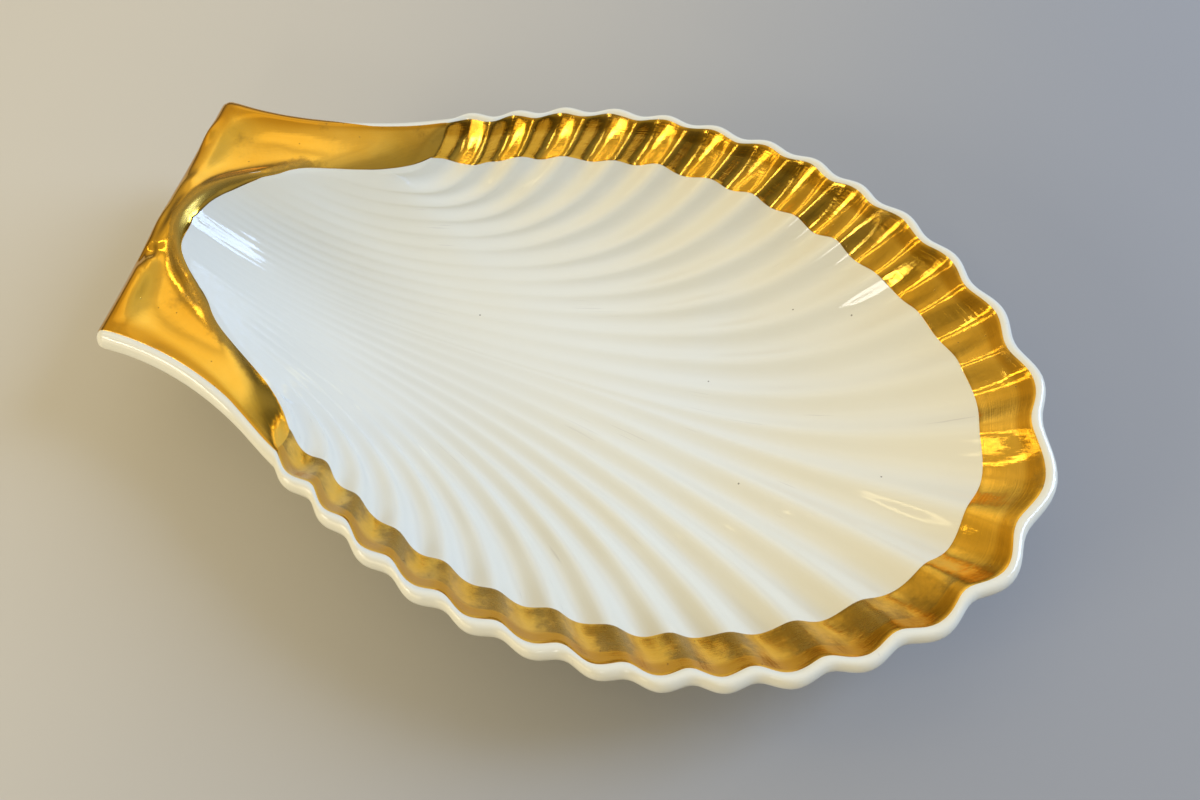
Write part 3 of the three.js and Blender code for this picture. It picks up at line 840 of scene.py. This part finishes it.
# The wear is a function of the grid's own coordinates and of the place across the dish.
def firedGold(name, wornAt, ripples, streaks, flow):
    constants = {"IOR": 1.5, "Coat Weight": 0.08, "Coat Roughness": 0.03}
    finish = Finish(bpy.data.materials.new(name), **constants)
    place = finish.add("TexCoord", {}, {}, output="Object")
    onGrid = finish.add("TexCoord", {}, {}, output="UV")
    u, v = (finish.add("SeparateXYZ", {}, {0: onGrid}, output=axis) for axis in "XY")
    y = finish.add("SeparateXYZ", {}, {0: place}, output="Y")
    tone = finish.noise(place, 38, 4, 0.6).above(0.3, 0.7)
    colour = finish.blend(tone, goldLook["deep"], goldLook["pale"])
    wear = wornAt(u, v, y) + finish.noise(place, 120, 6, 0.65) - 0.5
    thin = wear.above(0.08, 0.34)
    streaked = finish.noise(finish.stretched(onGrid, streaks), 1, 4, 0.65).above(0.34, 0.6)
    bald = wear.above(0.22, 0.42) * (streaked * 0.75 + 0.25)
    # The band towards the outer edge of each film is painted darker: painted shade, as on the round of the
    # lip.
    strip = u.above(0.62, 0.78) - u.above(0.93, 1)
    for share, shade in ((strip, "strip"), (thin, "thin"), (bald, "bald")):
        colour = finish.blend(share * goldLook["wornShare"], colour, goldLook[shade])
    pits = finish.specks(place, *goldLook["pits"])
    colour = finish.blend(pits * goldLook["pitShare"], colour, goldLook["pit"])
    brush = finish.noise(finish.stretched(onGrid, (70, 5, 1)), 1, 4, 0.6)
    roughness = 0.04 + brush * 0.06 + thin * 0.12 + bald * 0.15 + pits * 0.3
    metal = 1 - bald * 0.15 - thin * 0.05
    finish.join(finish.shader, {"Base Color": colour, "Roughness": roughness, "Metallic": metal})
    ripple = finish.noise(place, 170, 3) + brush * 0.25
    ripple = ripple + finish.noise(finish.stretched(onGrid, flow), 1, 3, 0.6) * 0.6
    ripple = ripple + finish.noise(place, 900, 3) * 0.12 - pits * 0.3
    finish.relief(ripple, ripples)
    return finish.owner


def rimWear(u, v, y):             # rubbed on the ribs and the crest, and most on the near side, towards -Y
    onRib = v.maths("COSINE", v * (2 * math.pi * lobeCount), 0) * 0.5 + 0.5
    nearSide = (0 - y).above(0.0, 0.05)
    return nearSide * (0.08 + onRib * 0.3) + u.above(0.6, 0.95) * 0.12 - nearSide * u.above(0.68, 0.8) * 0.5


def tabWear(u, v, y):             # rubbed where the ridge stands proud
    onRidge = (u.above(0.02, 0.15) - u.above(0.3, 0.42)) * (v.above(0.14, 0.26) - v.above(0.82, 0.94))
    atBeak = (v.above(0.36, 0.44) - v.above(0.56, 0.64)) * (u.above(0.05, 0.15) - u.above(0.36, 0.46))
    return onRidge * 0.42 + atBeak * 0.3 + u.above(0.92, 1) * 0.15


body = makeBody()
settle(body, "porcelain_body", glazedPorcelain())
settle(makeFoot(body), "foot_ring", groundPorcelain())
settle(makeRimFilm(), "rim_gilding", firedGold("fired gold rim", rimWear, **rimBrush))
settle(makeTabFilm(), "tab_gilding", firedGold("fired gold tab", tabWear, **tabBrush))

view = dict(
    target=(9.55, -13.8, 30.6),
    turn=14.8,
    rise=63.4,
    roll=3.9,
    distance=238,
    lens=30,
    sensor=36,
    nearest=0.01,
)


def addCamera():
    turn, rise, roll = (math.radians(view[k]) for k in ("turn", "rise", "roll"))
    back = Vector((math.sin(turn) * math.cos(rise), -math.cos(turn) * math.cos(rise), math.sin(rise)))
    right = Vector((math.cos(turn), math.sin(turn), 0))
    up = back.cross(right)
    x = math.cos(roll) * right + math.sin(roll) * up
    y = math.cos(roll) * up - math.sin(roll) * right
    data = bpy.data.cameras.new("camera")
    data.lens = view["lens"]
    data.sensor_width = view["sensor"]
    data.clip_start = view["nearest"]
    camera = bpy.data.objects.new("camera", data)
    bpy.context.scene.collection.objects.link(camera)
    place = (Vector(view["target"]) + back * view["distance"]) * mm
    camera.matrix_world = Matrix.Translation(place) @ Matrix((x, y, back)).transposed().to_4x4()
    bpy.context.scene.camera = camera


# The floor is painted lighter and warmer towards -X and darker and cooler towards +X: painted light and
# shade across the floor.
ground = dict(
    size=4,
    light=(0.62, 0.57, 0.465, 1),
    paintedShade=(0.30, 0.305, 0.315, 1),
    reach=0.2,                    # metres from the middle over which one goes over to the other
    roughness=0.9,
)


def addFloor():
    bpy.ops.mesh.primitive_plane_add(size=ground["size"])
    floor = bpy.context.object
    floor.name = "floor"
    finish = Finish(bpy.data.materials.new("pale floor"), Roughness=ground["roughness"])
    place = finish.add("TexCoord", {}, {}, output="Object")
    along = finish.add("SeparateXYZ", {}, {0: place}, output="X") + finish.noise(place, 5, 3) * 0.06
    # Painted light and shade: the floor's colour goes from its lit end to its shaded end along X.
    shade = along.above(-ground["reach"], ground["reach"])
    finish.join(finish.shader, {"Base Color": finish.blend(shade, ground["light"], ground["paintedShade"])})
    floor.data.materials.append(finish.owner)


# Lamps: turn and rise in degrees, distance and size in metres.
pane = dict(rise=34, away=1.2, size=(0.2, 0.8), glow=8.7, tint=(0.65, 0.90, 1.40))
slit = dict(rise=44, away=1.3, size=(0.06, 0.6), glow=4.6, tint=(1, 0.82, 0.42))
lamps = {
    "left pane": dict(pane, turn=39),
    "right pane": dict(pane, turn=26),
    "left slit": dict(slit, turn=216),
    "right slit": dict(slit, turn=191),
    "far window": dict(turn=-75, rise=33, away=1.5, size=(0.15, 0.2), glow=10, tint=(1, 0.97, 0.9)),
    "front fill": dict(turn=-120, rise=13, away=1.2, size=(1.0, 0.5), glow=3.0, tint=(1, 0.87, 0.62)),
    "front glint": dict(turn=-135, rise=26, away=1.2, size=(0.36, 0.22), glow=11, tint=(1, 0.93, 0.78)),
}


def addLamp(name, turn, rise, away, size, glow, tint):
    data = bpy.data.lights.new(name, "AREA")
    data.shape = "RECTANGLE"
    data.size, data.size_y = size
    data.energy = glow * size[0] * size[1] * math.pi
    data.color = tint
    lamp = bpy.data.objects.new(name, data)
    turn, rise = math.radians(turn), math.radians(rise)
    toward = Vector((math.cos(turn) * math.cos(rise), math.sin(turn) * math.cos(rise), math.sin(rise)))
    lamp.location = toward * away
    lamp.rotation_euler = toward.to_track_quat("Z", "Y").to_euler()
    bpy.context.scene.collection.objects.link(lamp)


room = dict(
    towardCool=(0.85, 0.4, 0),
    warm=(1, 0.81, 0.44, 1),
    cool=(0.93, 0.96, 1, 1),
    backdrop=(0.47, 0.465, 0.45, 1),    # what the camera itself sees of the room
    dim=0.06,
    patches=0.12,
    heights=[(0.05, 0.7, 0.26), (0.68, 0.9, 0.08)],     # from, to, and what it adds
    lobes=[                             # direction, from, to, and what it adds
        ((-0.453, 0.211, 0.866), 0.35, 0.9, 0.29), ((-0.453, 0.211, 0.866), 0.955, 0.993, 0.42),
        ((-0.25, 0.8, 0.55), 0.87, 0.985, 0.5), ((-0.25, 0.8, 0.55), 0.4, 0.87, 0.1),
    ],
)


def makeRoom():                   # dim near the ground, lighter overhead, and uneven as a room is
    world = bpy.data.worlds.new("room")
    finish = Finish(world, "Background")
    toward = finish.add("TexCoord", {}, {}, output="Generated")
    height = finish.add("SeparateXYZ", {}, {0: toward}, output="Z")
    coolness = finish.across(toward, room["towardCool"]).above(-0.6, 0.6)
    colour = finish.blend(coolness, room["warm"], room["cool"])
    patches = finish.noise(toward, 2.2, 2).above(0.35, 0.65)
    level = room["dim"] + patches * height.above(-0.1, 0.5) * room["patches"]
    for low, high, gain in room["heights"]:
        level = level + height.above(low, high) * gain
    for direction, low, high, gain in room["lobes"]:
        level = level + finish.across(toward, direction).above(low, high) * gain
    seen = finish.add("LightPath", {}, {}, output="Is Camera Ray")
    colour = finish.blend(seen, colour, room["backdrop"])
    finish.join(finish.shader, {"Color": colour, "Strength": seen + level * (1 - seen)})
    bpy.context.scene.world = world


addCamera()
addFloor()
for name, lamp in lamps.items():
    addLamp(name, **lamp)
makeRoom()
print("camera, floor and light are set")
bpy.context.scene.view_settings.view_transform = "Standard"
